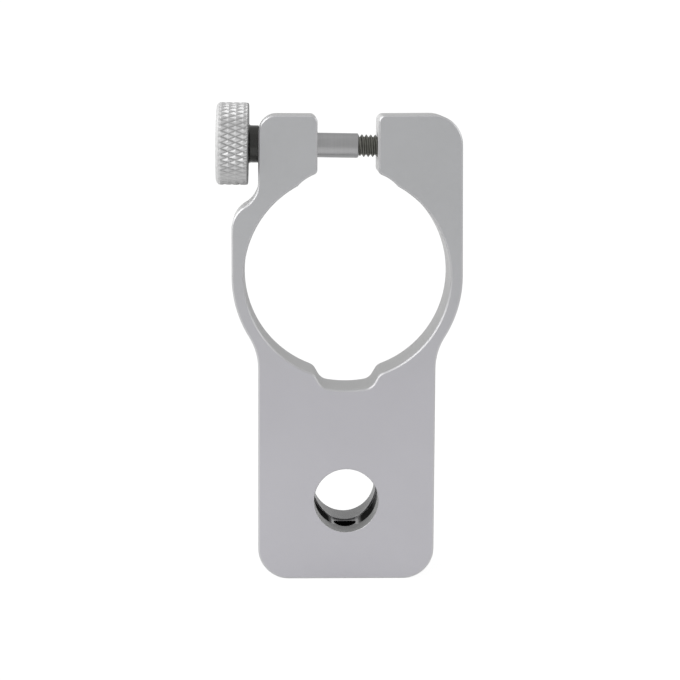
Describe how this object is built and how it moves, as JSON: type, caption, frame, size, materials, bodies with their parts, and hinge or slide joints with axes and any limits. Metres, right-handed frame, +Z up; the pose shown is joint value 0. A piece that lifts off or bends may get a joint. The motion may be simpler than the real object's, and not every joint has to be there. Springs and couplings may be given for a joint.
{
  "type": "watch movement holder",
  "caption": "Split-ring clamp plate that grips a watch movement, closed by a knurled thumbscrew across the ring's slot, with a thick tang bored for a post.",
  "frame": {"origin": "centre of the round seat for the movement, halfway through the ring's thickness", "axes": "+Z up the plate from the tang to the slot, +X from the thumbscrew's knob towards the plate, -Y out of the front face"},
  "size_m": [0.044, 0.0187, 0.0857],
  "materials": {
    "plate_aluminium": "fine bead-blasted and clear anodised, with bright machined chamfers",
    "knob_aluminium": "bright turned and diamond knurled",
    "black_oxide_steel": "satin black oxide",
    "ground_steel": "fine ground, bare"
  },
  "bodies": {
    "tang": {"tang_and_lower_ring": "plate_aluminium"},
    "left_arm": {"left_clamp_arm": "plate_aluminium"},
    "right_arm": {"right_clamp_arm": "plate_aluminium"},
    "thumbscrew": {"clamp_screw": "black_oxide_steel", "thumb_knob": "knob_aluminium"},
    "lock_screw": {"post_lock_screw": "black_oxide_steel"}
  },
  "joints": [
    {"name": "left_arm_flex", "type": "hinge", "parent": "tang", "child": "left_arm", "pos_m": [-0.0184, 0, 0], "axis": [0, 1, 0], "range_deg": [0, 0.5]},
    {"name": "right_arm_flex", "type": "hinge", "parent": "tang", "child": "right_arm", "pos_m": [0.0184, 0, 0], "axis": [0, -1, 0], "range_deg": [0, 0.5]},
    {"name": "thumbscrew_turn", "type": "hinge", "parent": "left_arm", "child": "thumbscrew", "pos_m": [-0.0015, 0, 0.0231], "axis": [0.9999, 0, -0.0131], "range_deg": [0, 180]},
    {"name": "lock_screw_travel", "type": "slide", "parent": "tang", "child": "lock_screw", "axis": [0, 0, 1], "range_m": [-0.0015, 0.0021]}
  ],
  "couplings": [
    {"joint": "left_arm_flex", "follows": "thumbscrew_turn", "ratio": 0.002735},
    {"joint": "right_arm_flex", "follows": "thumbscrew_turn", "ratio": 0.002735}
  ]
}
